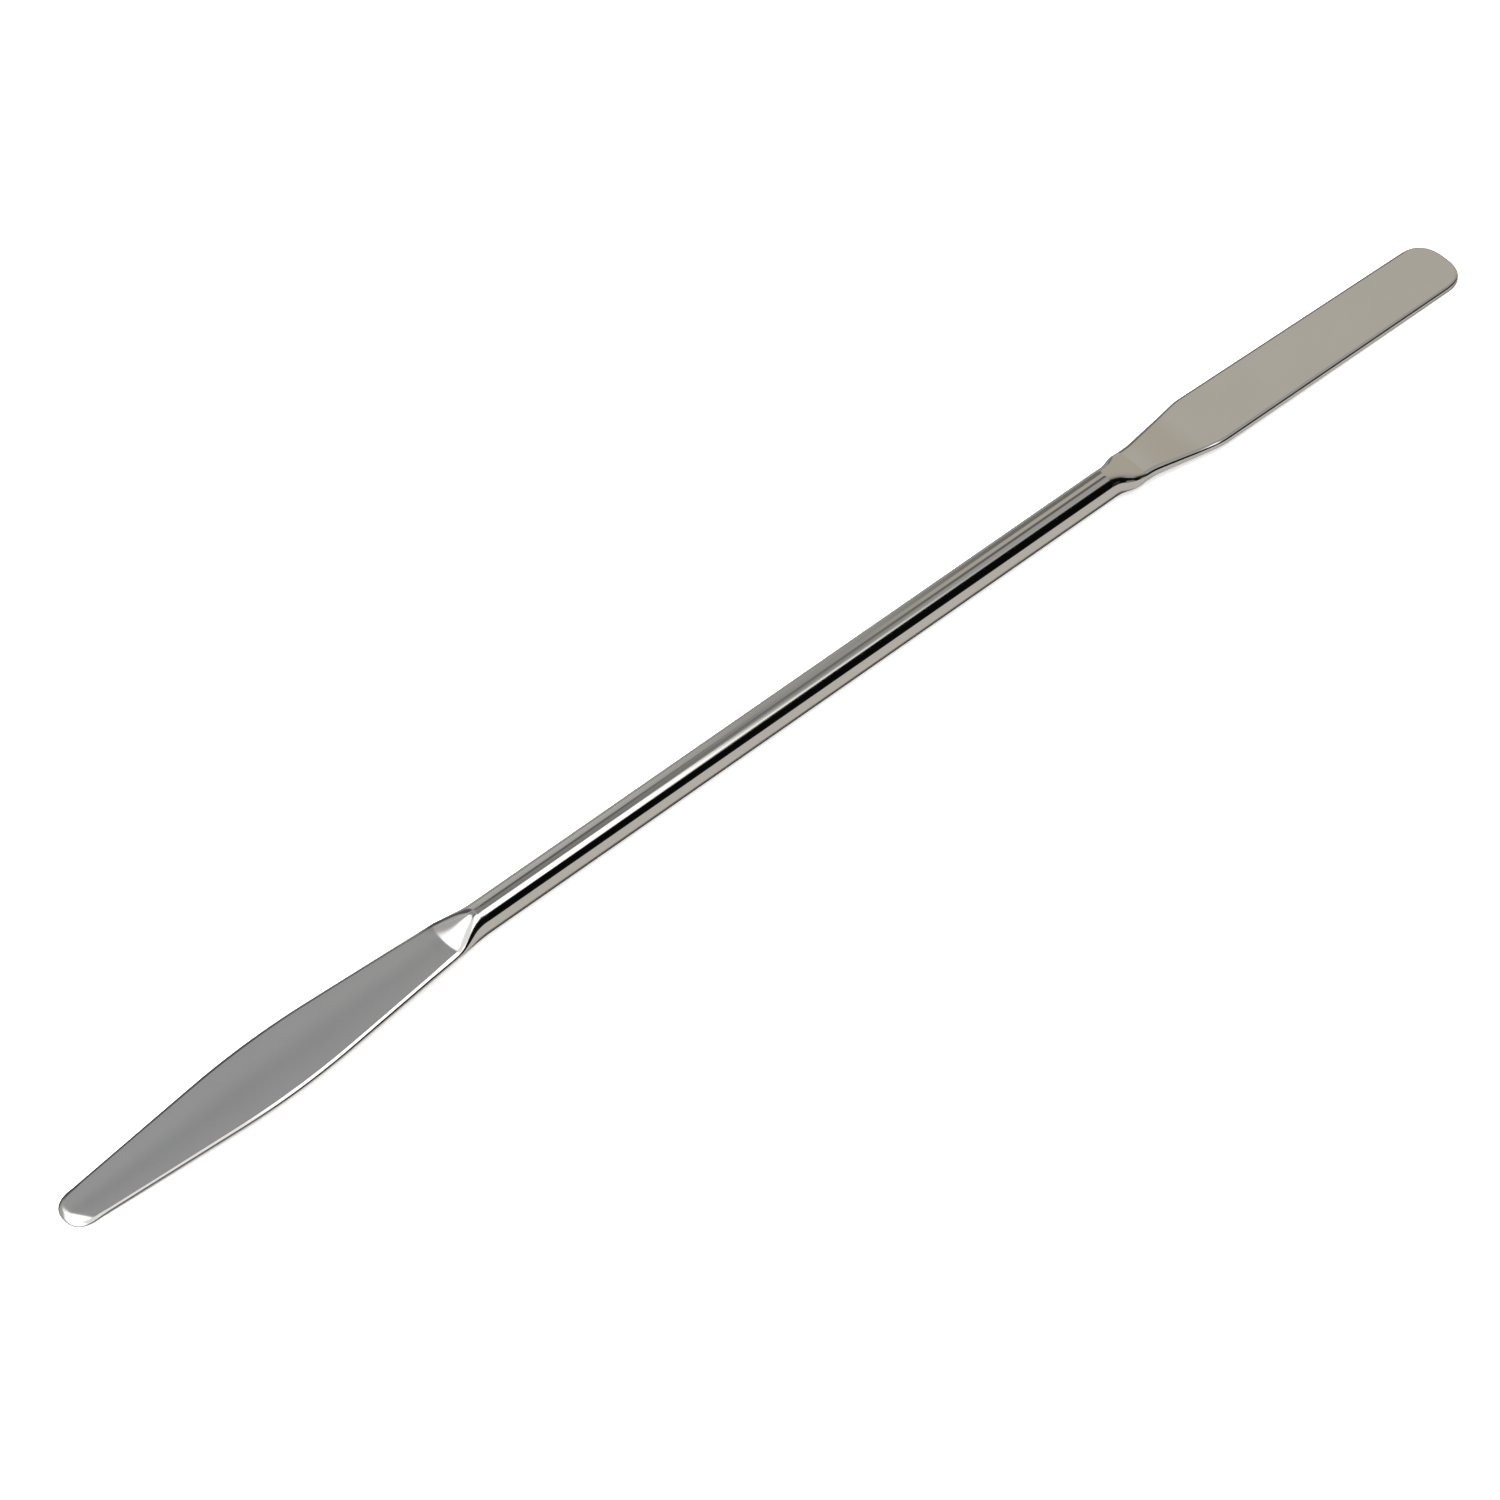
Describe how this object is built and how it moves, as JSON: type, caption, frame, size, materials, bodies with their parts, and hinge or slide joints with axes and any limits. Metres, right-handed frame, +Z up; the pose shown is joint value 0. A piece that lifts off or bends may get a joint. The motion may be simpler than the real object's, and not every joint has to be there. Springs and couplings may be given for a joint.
{
  "type": "sculpting spatula",
  "caption": "Double-ended steel sculpting spatula: slim round handle, a leaf-shaped blade at one end and a straight round-nosed blade at the other.",
  "frame": {"origin": "on the surface that the tool lies on, under the middle of its length", "axes": "+X along the handle towards the straight blade, +Y across the blades, +Z up, square to the blades' broad faces"},
  "size_m": [0.2, 0.0082, 0.0041],
  "materials": {
    "handle_steel": "bright polished stainless steel with fine lengthwise polishing lines",
    "blade_steel": "ground and fine-polished stainless steel, softer than the handle"
  },
  "bodies": {
    "root": {"leaf_blade": "blade_steel", "handle_rod": "handle_steel", "straight_blade": "blade_steel"}
  },
  "joints": []
}
